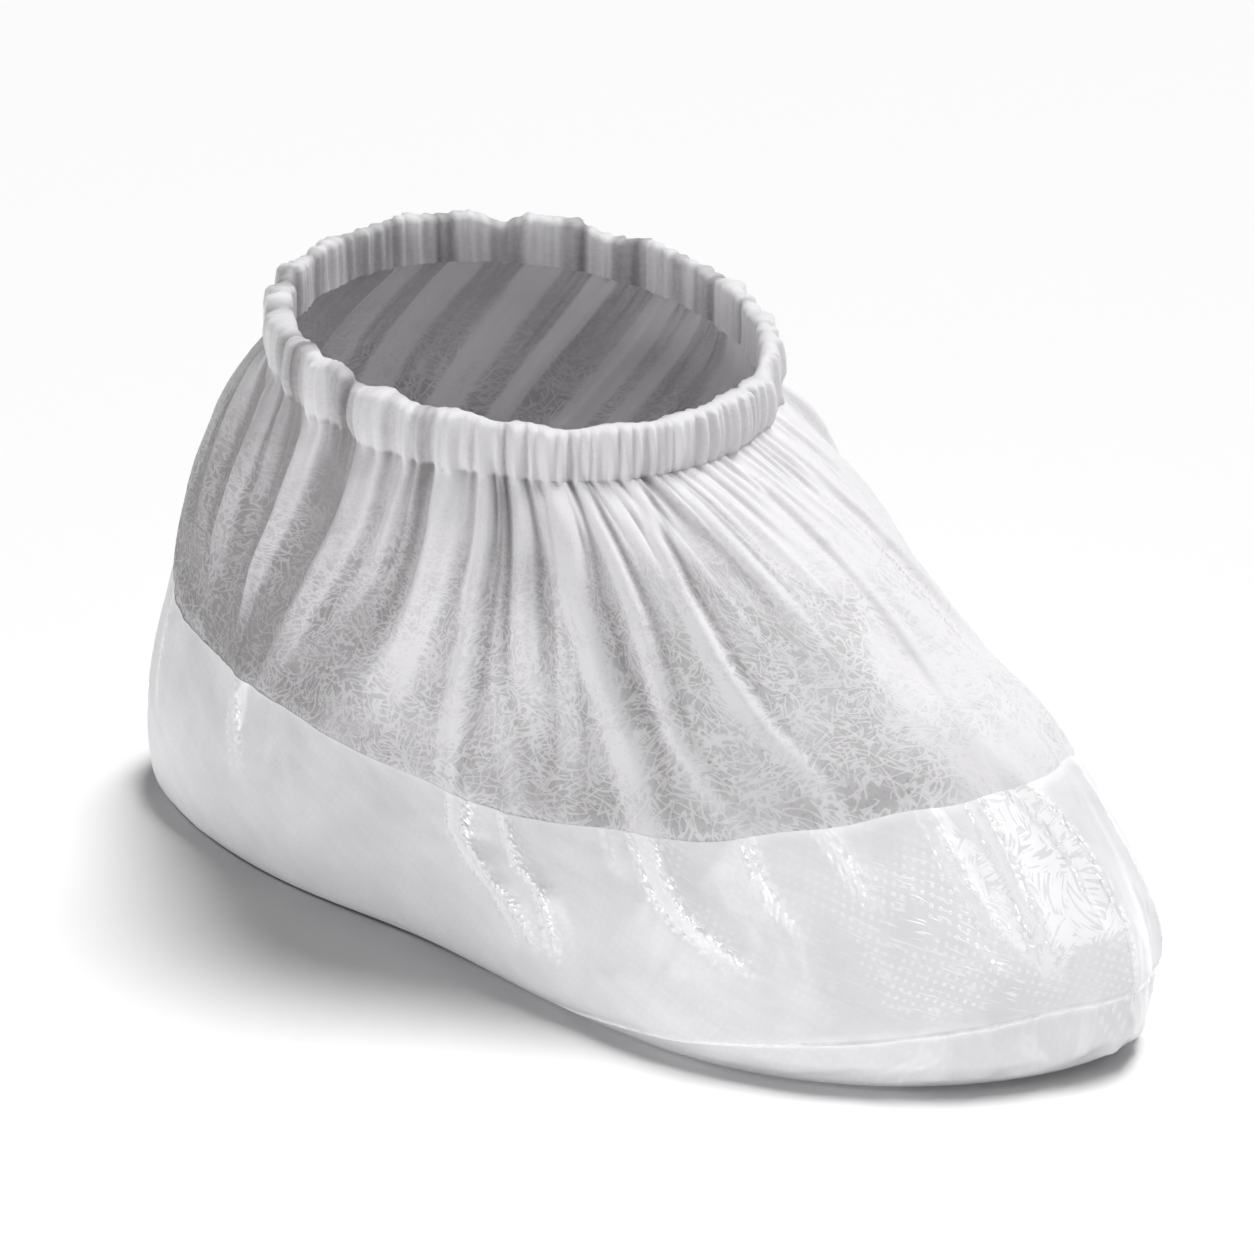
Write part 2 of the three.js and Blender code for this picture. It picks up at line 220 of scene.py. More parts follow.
# what all creases share, flatter at the film's edge; ends are in mm, places across in half widths
creaseShape = {
    "deepest": 2.2, "lowEnd": (-3, 9), "topEnd": (-4, 8), "flatter": 0.4, "flatWidth": 4,
    "border": 1.08, "sharp": 1.25, "crestWidth": 0.6, "turn": 0.3,
    # painted highlight: a band on the heel side, paler at its border, and a rim
    "band": 0.7, "bandEnd": (0.9, 1.1), "borderPale": 0.5, "borderAt": (0.85, 0.2), "rimAt": (0.9, 0.12),
}
seam = {"top": 15.0, "low": 1.0, "width": 0.5, "rise": 0.6}  # line over the instep
# unevenness of both sheets: rise in mm, size, seed, stretch upwards
unevenness = [(0.5, 24, 3, 2.6), (0.2, 9, 4, 3.0)]
crinkles = {"size": 16, "seed": 6, "width": 0.45, "rise": 0.12, "atToe": 0.1, "toe": 40}


# how far each place is from a fold's crest: in half widths, and on its steep side
def fromCrest(degrees, centre, width, steep, side):
    ahead = apart(degrees, centre) * side  # towards the toe
    narrower = foldShape["steep"] * steep
    across = np.abs(ahead) / (width * np.where(ahead > 0, 1 - narrower, 1 + narrower))
    return across, np.where(steep == 0, np.abs(ahead), ahead * steep) / width


# 1 at the top of a fold, going down to 0
def faded(ends, reach, below):
    return 1 - step(ends[0] * reach, ends[1] * reach, below)


# the main folds: their rise, their painted highlights and painted shade, and their smooth faces
def foldsAt(degrees, height, below, share):
    fold, white, valleyShade, face = (np.zeros_like(degrees) for _ in range(4))
    blunt = foldShape["flat"] - foldShape["sharper"] * step(0, foldShape["sharpFrom"], below)
    pinch = 0.2 + 0.3 * step(-7, 0, below) + 0.5 * step(0, 12, below)  # drawn in at the gather
    lines = [(top + (low - top) * share, -np.sign(top), *rest) for top, low, *rest in mainFolds]
    lines += [(np.interp(height, *zip(*line)), 1, *rest) for line, *rest in bentFolds]
    for centre, side, wide, narrow, rise, reach, crest, steep in lines:
        width = wide + (narrow - wide) * np.minimum(share, 1)
        across, along = fromCrest(degrees, centre, width, steep, side)
        fade = faded(foldShape["fade"], reach, below)
        fold = np.maximum(fold, rise * pinch * fade * np.exp(-across**blunt))
        face = np.maximum(face, fade * np.exp(-across**4))
        # painted highlight along the crest and both edges
        pale = foldShape["crestWhite"] * np.exp(-across**3)
        pale = pale + foldShape["edgeWhite"] * bell(across, *foldShape["edge"])
        white = np.maximum(white, crest * faded(foldShape["whiteFade"], reach, below) * pale)
        # painted shade in the valley beside the steep side
        valley = foldShape["valleyDark"] * bell(along, *foldShape["valley"])
        valley = valley + foldShape["coreDark"] * bell(along, *foldShape["core"])
        valleyShade = np.maximum(valleyShade, crest * faded(foldShape["darkFade"], reach, below) * valley)
    return fold, white, valleyShade, face


# thin folds between the main ones, the small pleats of the gather, and the shade painted in the gaps between
# these
def pleatsAt(degrees, below, share, face):
    pick = np.random.default_rng(thinFolds["seed"])
    small, pleat = np.zeros_like(degrees), np.zeros_like(degrees)
    places = np.arange(-179, 179, thinFolds["every"])
    for at in places + pick.uniform(-thinFolds["shift"], thinFolds["shift"], len(places)):
        width, rise, reach = (pick.uniform(*thinFolds[key]) for key in ("width", "rise", "reach"))
        centre = at + pick.uniform(-thinFolds["lean"], thinFolds["lean"]) * share
        across, _ = fromCrest(degrees, centre, width, pick.integers(-1, 2), -np.sign(at))
        crest = np.exp(-across ** thinFolds["blunt"])
        small = np.maximum(small, rise * faded(thinFolds["fade"], reach, below) * crest)
    at = -180.0
    while at < 177:
        width, rise, reach = (pick.uniform(*gatherPleats[key]) for key in ("width", "rise", "reach"))
        crest = np.exp(-(np.abs(apart(degrees, at)) / width) ** gatherPleats["blunt"])
        pleat = np.maximum(pleat, crest)
        small = np.maximum(small, rise * faded(gatherPleats["fade"], reach, below) * crest)
        at += pick.uniform(*gatherPleats["every"])
    # painted shade in the gaps between the gather's pleats, darkest right under the gather
    under = np.maximum(below, 0)
    gapShade = sum(weight * np.exp(-under / depth) for weight, depth in gatherPleats["gaps"])
    onFaces = gatherPleats["lessOnFaces"] * face  # the faces of the main folds stay smooth
    gapShade = gapShade * (1 - pleat) * (below > -1) * (1 - onFaces)
    small = small * (1 - onFaces * step(-1, 3, below))
    return small, gapShade


# the film's creases: rise, crest line painted as a highlight, flank towards the heel painted as a highlight
# with its rim, flank towards the toe painted in shade
def creasesAt(degrees, height):
    above = height - filmTop  # mm over the film's edge
    crease, crest, flank, rim, dim = (np.zeros_like(degrees) for _ in range(5))
    for rise, heel, toe, up, line in filmCreases:
        heights, places = (np.array(v[::-1], float) for v in zip(*line))
        outside = places[0] < 0
        ahead = apart(degrees, np.interp(height, heights, places)) * np.where(outside, 1, -1)
        across = np.abs(ahead) / np.where(ahead > 0, toe, heel)
        fade = step(*(heights[0] + end for end in creaseShape["lowEnd"]), height)
        topEnd = (0, up) if up else (heights[-1] - filmTop + end for end in creaseShape["topEnd"])
        fade = fade * (1 - step(*topEnd, above))
        fade = fade * (1 - creaseShape["flatter"] * bell(above, 0, creaseShape["flatWidth"]))
        slope = np.clip(creaseShape["border"] - across, 0, 1)
        strength = rise / creaseShape["deepest"] * fade
        turn = creaseShape["turn"]
        heelSide, toeSide = step(turn, -turn, ahead), step(-turn, turn, ahead)
        band = creaseShape["band"] + creaseShape["borderPale"] * bell(across, *creaseShape["borderAt"])
        band = band * (1 - step(*creaseShape["bandEnd"], across))
        crease = np.maximum(crease, rise * fade * slope ** creaseShape["sharp"])
        # painted highlight on the crest and on the heel-side flank with its rim, painted shade on the
        # toe-side flank
        crest = np.maximum(crest, strength * bell(ahead, 0, creaseShape["crestWidth"]))
        flank = np.maximum(flank, strength * band * heelSide)
        rim = np.maximum(rim, strength * bell(across, *creaseShape["rimAt"]) * heelSide * outside)
        dim = np.maximum(dim, strength * slope * toeSide)
    return {"crease": crease, "crest": crest, "flank": flank, "rim": rim, "dim": dim}


# how far folds and creases lift the sheet off the smooth form in mm, and where highlights and shade are
# painted on it
def relief(ankle, height):
    degrees = np.degrees(ankle)
    filmDegrees = np.degrees(threadAngle(ankle, np.full_like(ankle, filmTop)))
    below = gatherLine - height  # mm under the gather line
    share = np.clip(below / (gatherLine - filmTop), 0, 1.2)
    fold, white, valleyShade, face = foldsAt(degrees, height, below, share)
    small, gapShade = pleatsAt(degrees, below, share, face)
    made = creasesAt(filmDegrees, height)
    seamAt = seam["top"] + (seam["low"] - seam["top"]) * share
    line = seam["rise"] * bell(apart(degrees, seamAt), 0, seam["width"])
    line = line * step(4, 16, below) * step(-6, 4, height - filmTop)
    lift = fold + small + 0.9 * made["crease"] + line
    for rise, *field in unevenness:
        lift += rise * bumps(ankle, height, *field) * step(6, 30, height)
    crinkle = ridges(bumps(ankle, height, crinkles["size"], crinkles["seed"]), crinkles["width"])
    rise = crinkles["rise"] + crinkles["atToe"] * bell(filmDegrees, 0, crinkles["toe"])
    lift += rise * crinkle * step(3, 14, height)
    return {"lift": lift, "white": white, "valleyShade": valleyShade, "small": small, "gapShade": gapShade, **made}


# adds up fields by their weights, from a base
def weigh(weights, fields):
    total = weights["base"]
    for key, field in fields.items():
        total = total + weights[key] * field
    return total


# a mesh from rows of points that close round the cover, with a flat map in metres and point values
def sheetMesh(name, points, flat, values, soleRows=0):
    rows, columns = points.shape[:2]
    r, c = np.meshgrid(np.arange(rows - 1), np.arange(columns), indexing="ij")
    beside = (c + 1) % columns
    quads = [r * columns + c, r * columns + beside, (r + 1) * columns + beside, (r + 1) * columns + c]
    mesh = bpy.data.meshes.new(name)
    places = (points.reshape(-1, 3) + toRow) / 1000
    mesh.from_pydata(places.tolist(), [], np.stack(quads, -1).reshape(-1, 4).tolist())
    corners = np.stack([flat[r, c], flat[r, c + 1], flat[r + 1, c + 1], flat[r + 1, c]], 2)
    level = points[..., :2] / 1000  # the sole is mapped from above
    onSole = np.stack([level[r, c], level[r, beside], level[r + 1, beside], level[r + 1, c]], 2)
    corners[:soleRows] = onSole[:soleRows]
    mesh.uv_layers.new(name="flat").data.foreach_set("uv", corners.reshape(-1).astype(np.float32))
    for key, value in values.items():
        field = mesh.attributes.new(key, "FLOAT", "POINT")
        field.data.foreach_set("value", value.reshape(-1).astype(np.float32))
    mesh.polygons.foreach_set("use_smooth", np.ones(len(mesh.polygons), bool))
    mesh.update(calc_edges=True)
    ends = np.zeros(len(mesh.edges) * 2, np.int32)
    mesh.edges.foreach_get("vertices", ends)
    row = ends.reshape(-1, 2) // columns
    cut = (row[:, 0] == row[:, 1]) & ((row[:, 0] == 0) | (row[:, 0] == rows - 1))  # these stay sharp
    mesh.attributes.new("sharp_edge", "BOOLEAN", "EDGE").data.foreach_set("value", cut)
    piece = bpy.data.objects.new(name, mesh)
    scene.collection.objects.link(piece)
    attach(piece, "root")
    return piece


def thicken(piece, thickness, insideMaterial=0):
    solid = piece.modifiers.new("thickness", "SOLIDIFY")
    solid.thickness = thickness
    solid.offset = -1
    solid.use_rim = True
    solid.material_offset = insideMaterial


# lengths round and up a grid of points, for the flat map; the lengths round are those of some rows
def flatMap(points, rows):
    closed = np.concatenate([points, points[:, :1]], 1)[rows]
    along = np.cumsum(np.linalg.norm(np.diff(closed, axis=1), axis=2), 1).mean(0)
    up = np.cumsum(np.linalg.norm(np.diff(points, axis=0), axis=2), 0).mean(1)
    u = np.concatenate([[0], along])
    v = np.concatenate([[0], up])
    return np.stack(np.meshgrid(u, v), -1) / 1000


# node helpers
def newMaterial(name):
    material = bpy.data.materials.new(name)
    material.use_nodes = True
    tree = material.node_tree
    tree.nodes.clear()
    return material, tree


def node(tree, kind, **settings):
    made = tree.nodes.new(kind)
    for key, value in settings.items():
        setattr(made, key, value)
    return made


def feed(tree, socket, value):
    if hasattr(value, "is_output"):
        tree.links.new(value, socket)
    else:
        socket.default_value = value


def maths(tree, operation, a, b=None, clamp=False):
    made = node(tree, "ShaderNodeMath", operation=operation, use_clamp=clamp)
    feed(tree, made.inputs[0], a)
    if b is not None:
        feed(tree, made.inputs[1], b)
    return made.outputs[0]


def plus(tree, a, b, clamp=False):
    return maths(tree, "ADD", a, b, clamp)


def minus(tree, a, b):
    return maths(tree, "SUBTRACT", a, b)


def times(tree, a, b):
    return maths(tree, "MULTIPLY", a, b)


def larger(tree, a, b):
    return maths(tree, "MAXIMUM", a, b)


def away(tree, value, centre=0.0):
    return maths(tree, "ABSOLUTE", minus(tree, value, centre) if centre else value)


def ramp(tree, value, low, high, toLow=0.0, toHigh=1.0):
    made = node(tree, "ShaderNodeMapRange", interpolation_type="SMOOTHSTEP", clamp=True)
    for socket, number in zip(made.inputs[1:5], (low, high, toLow, toHigh)):
        feed(tree, socket, number)
    feed(tree, made.inputs[0], value)
    return made.outputs[0]


def mixColour(tree, share, a, b):
    made = node(tree, "ShaderNodeMix", data_type="RGBA")
    feed(tree, made.inputs["Factor"], share)
    feed(tree, made.inputs[6], a)
    feed(tree, made.inputs[7], b)
    return made.outputs[2]


def noise(tree, vector, scale, detail=2.0, rough=0.5):
    made = node(tree, "ShaderNodeTexNoise", noise_dimensions="2D")
    feed(tree, made.inputs["Vector"], vector)
    feed(tree, made.inputs["Scale"], scale)
    feed(tree, made.inputs["Detail"], detail)
    feed(tree, made.inputs["Roughness"], rough)
    return made.outputs["Fac"]


def cells(tree, vector, scale, randomness=1.0):
    made = node(tree, "ShaderNodeTexVoronoi", voronoi_dimensions="2D", feature="F1")
    feed(tree, made.inputs["Vector"], vector)
    feed(tree, made.inputs["Scale"], scale)
    feed(tree, made.inputs["Randomness"], randomness)
    return made.outputs


def turned(tree, vector, angle):
    made = node(tree, "ShaderNodeVectorRotate", rotation_type="Z_AXIS")
    feed(tree, made.inputs["Vector"], vector)
    feed(tree, made.inputs["Angle"], angle)
    return made.outputs[0]


def stretched(tree, vector, scale):
    made = node(tree, "ShaderNodeMapping")
    feed(tree, made.inputs["Vector"], vector)
    feed(tree, made.inputs["Scale"], scale)
    return made.outputs[0]


def split(tree, vector):
    made = node(tree, "ShaderNodeSeparateXYZ")
    feed(tree, made.inputs[0], vector)
    return made.outputs


def flatOf(tree):
    return node(tree, "ShaderNodeUVMap", uv_map="flat").outputs[0]


def painted(tree, name):
    return node(tree, "ShaderNodeAttribute", attribute_name=name).outputs["Fac"]


def bumpOf(tree, height, strength, distance):
    made = node(tree, "ShaderNodeBump")
    feed(tree, made.inputs["Height"], height)
    feed(tree, made.inputs["Strength"], strength)
    feed(tree, made.inputs["Distance"], distance)
    return made.outputs[0]


def principled(tree, values):
    made = node(tree, "ShaderNodeBsdfPrincipled")
    for key, value in values.items():
        feed(tree, made.inputs[key], value)
    return made.outputs[0]


def surface(tree, shader):
    feed(tree, node(tree, "ShaderNodeOutputMaterial").inputs["Surface"], shader)


fullTurn = 6.283


# the place within a random cell, and three random numbers of that cell
def cellsOf(tree, flat, scale, turn):
    scaled = node(tree, "ShaderNodeVectorMath", operation="SCALE")
    feed(tree, scaled.inputs[0], turned(tree, flat, turn))
    feed(tree, scaled.inputs["Scale"], scale)
    found = cells(tree, scaled.outputs[0], 1.0)
    local = node(tree, "ShaderNodeVectorMath", operation="SUBTRACT")
    feed(tree, local.inputs[0], scaled.outputs[0])
    feed(tree, local.inputs[1], found["Position"])
    chance = node(tree, "ShaderNodeSeparateColor")
    feed(tree, chance.inputs[0], found["Color"])
    return local.outputs[0], chance.outputs


strokeForm = {"inCell": 3, "shift": 0.3, "bend": 2.6, "ends": (0.66, 0.4), "faintest": 0.4, "fainter": 0.6}


# short curved strokes, some in each random cell
def strokeGroup():
    group = bpy.data.node_groups.new("fibre strokes", "ShaderNodeTree")
    group.interface.new_socket("Flat", in_out="INPUT", socket_type="NodeSocketVector")
    for name in ("Scale", "Turn", "Width"):
        group.interface.new_socket(name, in_out="INPUT", socket_type="NodeSocketFloat")
    group.interface.new_socket("Stroke", in_out="OUTPUT", socket_type="NodeSocketFloat")
    entry, leave = node(group, "NodeGroupInput"), node(group, "NodeGroupOutput")
    local, chance = cellsOf(group, entry.outputs["Flat"], entry.outputs["Scale"], entry.outputs["Turn"])
    best = None
    for k in range(strokeForm["inCell"]):
        x, y, _ = split(group, turned(group, local, times(group, chance[k], fullTurn)))
        y = minus(group, y, times(group, chance[k - 1], strokeForm["shift"]))
        bend = times(group, minus(group, chance[k - 2], 0.5), strokeForm["bend"])
        curve = minus(group, y, times(group, bend, times(group, x, x)))
        across = ramp(group, away(group, curve), entry.outputs["Width"], 0.0)
        stroke = times(group, across, ramp(group, away(group, x), *strokeForm["ends"]))
        weight = plus(group, times(group, chance[k - 1], strokeForm["fainter"]), strokeForm["faintest"])
        stroke = times(group, stroke, weight)
        best = stroke if best is None else larger(group, best, stroke)
    feed(group, leave.inputs[0], best)
    return group


fibreStrokes = strokeGroup()


def strokes(tree, flat, scale, turn, width):
    made = node(tree, "ShaderNodeGroup", node_tree=fibreStrokes)
    for socket, value in zip(made.inputs, (flat, scale, turn, width)):
        feed(tree, socket, value)
    return made.outputs[0]


hatchForm = {"curl": 3.0, "tightest": 0.3, "slide": 40}


# patches of broken fibres side by side, straight or curled round a point, turned another way in each cell
def hatch(tree, flat, scale, turn, count, length):
    local, chance = cellsOf(tree, flat, scale, turn)
    local = turned(tree, local, times(tree, chance[0], fullTurn))
    centre = node(tree, "ShaderNodeCombineXYZ")
    feed(tree, centre.inputs[0], plus(tree, times(tree, chance[1], hatchForm["curl"]), hatchForm["tightest"]))
    radius = node(tree, "ShaderNodeVectorMath", operation="DISTANCE")
    feed(tree, radius.inputs[0], local)
    feed(tree, radius.inputs[1], centre.outputs[0])
    along = times(tree, split(tree, local)[1], length)
    place = node(tree, "ShaderNodeCombineXYZ")
    feed(tree, place.inputs[0], times(tree, radius.outputs["Value"], count))
    feed(tree, place.inputs[1], plus(tree, along, times(tree, chance[2], hatchForm["slide"])))
    return noise(tree, place.outputs[0], 1.0, 0.0)


upperCloth = {
    "columns": 900, "quickColumns": 300,
    "lapRows": 3, "wallRows": 37, "hemRows": 7, "flapRows": 4, "mapRows": 20,
    # mm
    "hemHeight": 14.0, "lap": 9.0, "lapInset": 0.5, "edgeInset": 0.4, "hemBulge": 1.0,
    "turnInset": [0.7, 1.7, 2.8], "flapInset": 3.4, "ruffle": 0.7, "wavyTop": 0.7,
    # how pale each place is painted, from grey at 0 to white at 1
    "tone": {
        # painted highlights on fold crests, small folds and creases; painted shade in valleys and gaps;
        # painted light just above the film
        "base": 0.08, "front": 0.41, "toe": 0.16, "white": 0.60, "valleyShade": -0.40, "darkFront": 0.02,
        "small": 0.12, "gapShade": -0.42, "crease": 0.2, "edge": 0.2, "gather": 0.22, "gatherFront": 0.2,
        "hem": 0.32, "instep": 0.46, "heel": 0.10, "cloud": 0.10},
    # where each begins and is full: degrees, with the toe at 0, or mm
    "spans": {
        "front": (-105, -50), "toe": (-58, -25), "gather": (-75, -40), "gatherFront": (-44, -30),
        "instep": (-2.5, 2.5), "instepEnd": (32, 62), "heel": (115, 150), "crease": (0.4, 2.0),
        "edge": (0, 2.2), "fibre": (6, 46), "crestFibre": (15, 60), "paleFibre": (0.8, 1.1)},
    "gatherDepth": 22, "leastFibre": 0.2, "lessOnPale": 0.3, "lessOnCrests": 0.7, "moreLower": 0.35,
    # the instep's pale edge as height, degrees, and how far it wavers
    "paleEdge": [(48, -15.5), (69, -16), (84, -14.7), (94, -12.2), (105, -9.5), (121, -13), (143, -15)],
    "paleWaver": 0.8,
    # the cloth itself, in metres; strokes are scale, turn, width and hatches scale, turn, count, length
    # the inside is painted this much paler, as painted light
    "thickness": 0.0003, "insidePaintedLight": 0.6,
    "grey": (0.35, 0.338, 0.347, 1), "white": (0.905, 0.893, 0.908, 1),
    "strokes": (120, 0.3, 0.042), "hatchLayers": [(110, 0.7, 3.6, 1.0), (145, 2.1, 3.0, 1.0)],
    "fibreLine": (0.085, 0.03), "fibreWeight": 0.75,
    "fibreMiddle": 0.30, "fibreShown": (0.34, 0.60, 0.3, 0.5),
    "cloudScale": 75, "cloudMiddle": 0.48, "cloudWeight": 0.28,
    "webScale": 900, "webRough": 0.65, "webWeight": 0.2, "pits": (0.36, 0.27, 0.0, 0.5),
    "bumpStrength": 0.3, "bumpDepth": 0.0003,
    "roughness": 0.6, "specular": 0.3, "sheen": 0.12, "through": 0.22,
}


def makeUpper():
    columns = upperCloth["columns"]
    even = np.linspace(-math.pi, math.pi, columns, endpoint=False)
    ankle = np.interp(even, (ankleTurn + filmTurn) / 2, ankleTurn)
    hemTop = gatherLine + upperCloth["hemHeight"]
    lap = np.linspace(filmTop - upperCloth["lap"], filmTop - 1, upperCloth["lapRows"])
    closer = 1 - (1 - np.linspace(0, 1, upperCloth["wallRows"])) ** 1.3  # closer rows at the gather
    wall = filmTop + (gatherLine - filmTop) * closer
    hem = np.linspace(gatherLine + 1.2, hemTop - 1, upperCloth["hemRows"])
    flap = np.linspace(hemTop - 1.5, gatherLine + 2, upperCloth["flapRows"])
    height = np.concatenate([lap, wall, hem, [hemTop, hemTop + 0.4, hemTop], flap])
    inset = np.concatenate([
        np.full(len(lap), upperCloth["lapInset"]), upperCloth["edgeInset"] * (1 - step(0, 4, wall - filmTop)),
        -upperCloth["hemBulge"] * np.sin(math.pi * (hem - gatherLine) / upperCloth["hemHeight"]),
        upperCloth["turnInset"], np.full(len(flap), upperCloth["flapInset"])])
    outside = np.zeros(len(lap) + len(wall) + len(hem))
    inside = np.concatenate([outside, [0.0, 0.5, 1.0], np.ones(len(flap))])  # 1 on the turned flap
    h, a = np.meshgrid(height, ankle, indexing="ij")
    made = relief(a, h)
    ruffle = upperCloth["ruffle"] * bumps(a, h, size=7, seed=21, stretch=8.0)
    ruffle = ruffle * step(gatherLine, gatherLine + 5, h)
    lift = (made["lift"] + ruffle) * (1 - 1.45 * inside[:, None])
    angle = threadAngle(a, h)
    smooth = form(angle, h)
    points = smooth + outward(angle, h) * (lift - inset[:, None])[..., None]
    wavy = upperCloth["wavyTop"] * bumps(a, h, size=16, seed=22, stretch=30.0)
    points[..., 2] += wavy * step(hemTop - 8, hemTop, h)
    flat = flatMap(smooth, slice(0, upperCloth["mapRows"]))
    piece = sheetMesh("nonwoven_upper", points, flat, upperTones(made, a, h))
    thicken(piece, upperCloth["thickness"], 1)
    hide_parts("upper")
    piece.data.materials.append(clothMaterial("spunbond nonwoven", 0.0))
    piece.data.materials.append(clothMaterial("spunbond nonwoven inside painted lighter", upperCloth["insidePaintedLight"]))
    return piece


# how pale the cloth is painted, with highlights and shade painted on its folds, and how much its fibres show
def upperTones(made, ankle, height):
    below = gatherLine - height
    degrees = np.degrees(ankle)
    outer = -np.abs(degrees)  # the inner side looks like the outer one
    span = upperCloth["spans"]
    front = step(*span["front"], outer)
    underGather = np.exp(-np.maximum(below, 0) / upperCloth["gatherDepth"])
    waver = upperCloth["paleWaver"] * bumps(ankle, height, size=18, seed=33)
    pastEdge = degrees - np.interp(height, *zip(*upperCloth["paleEdge"])) + waver
    pale = weigh(upperCloth["tone"], {
        # painted highlights on fold crests, small folds and creases, painted shade in valleys and gaps,
        # painted light just above the film's edge
        "front": front, "toe": step(*span["toe"], outer) * front, "white": made["white"],
        "valleyShade": made["valleyShade"], "darkFront": front * made["valleyShade"], "small": made["small"], "gapShade": made["gapShade"],
        "crease": step(*span["crease"], made["crease"]), "edge": 1 - step(*span["edge"], height - filmTop),
        "gather": step(*span["gather"], outer) * underGather,
        "gatherFront": step(*span["gatherFront"], outer) * underGather,
        "hem": below < 0, "instep": step(*span["instep"], pastEdge) * (1 - step(*span["instepEnd"], degrees)),
        "heel": step(*span["heel"], np.abs(degrees)),
        "cloud": bumps(ankle, height, size=30, seed=31, stretch=1.6)})
    least = upperCloth["leastFibre"]
    fibre = least + (1 - least) * step(*span["fibre"], below)
    fibre = fibre * (1 - upperCloth["lessOnPale"] * step(*span["paleFibre"], pale))
    onCrests = upperCloth["lessOnCrests"] - upperCloth["moreLower"] * step(*span["crestFibre"], below)
    fibre = fibre * (1 - onCrests * np.clip(made["white"], 0, 1))
    return {"pale": np.clip(pale, 0, 1), "fibre": fibre}


# the cloth; the inside copy is painted paler by lift, painted light in place of light falling through
def clothMaterial(name, lift):
    material, tree = newMaterial(name)
    flat = flatOf(tree)
    cloud = noise(tree, flat, upperCloth["cloudScale"])
    fibres = strokes(tree, flat, *upperCloth["strokes"])
    for layer in upperCloth["hatchLayers"]:
        line = ramp(tree, away(tree, hatch(tree, flat, *layer), 0.5), *upperCloth["fibreLine"])
        fibres = larger(tree, fibres, times(tree, line, upperCloth["fibreWeight"]))
    web = noise(tree, flat, upperCloth["webScale"], 2.0, upperCloth["webRough"])  # between the fibres
    pits = ramp(tree, web, *upperCloth["pits"])  # its thin spots
    shown = times(tree, ramp(tree, cloud, *upperCloth["fibreShown"]), painted(tree, "fibre"))
    drawn = times(tree, minus(tree, minus(tree, fibres, upperCloth["fibreMiddle"]), pits), shown)
    uneven = times(tree, minus(tree, upperCloth["cloudMiddle"], cloud), upperCloth["cloudWeight"])
    share = plus(tree, plus(tree, painted(tree, "pale"), lift), uneven)
    share = plus(tree, share, times(tree, minus(tree, web, 0.5), upperCloth["webWeight"]))
    share = plus(tree, share, drawn, clamp=True)
    colour = mixColour(tree, share, upperCloth["grey"], upperCloth["white"])
    cloth = principled(tree, {
        "Base Color": colour, "Roughness": upperCloth["roughness"],
        "Specular IOR Level": upperCloth["specular"], "Sheen Weight": upperCloth["sheen"],
        "Normal": bumpOf(tree, web, upperCloth["bumpStrength"], upperCloth["bumpDepth"])})
    through = node(tree, "ShaderNodeBsdfTranslucent")
    feed(tree, through.inputs["Color"], colour)
    both = node(tree, "ShaderNodeMixShader")
    both.inputs[0].default_value = upperCloth["through"]
    feed(tree, both.inputs[1], cloth)
    feed(tree, both.inputs[2], through.outputs[0])
    surface(tree, both.outputs[0])
    return material


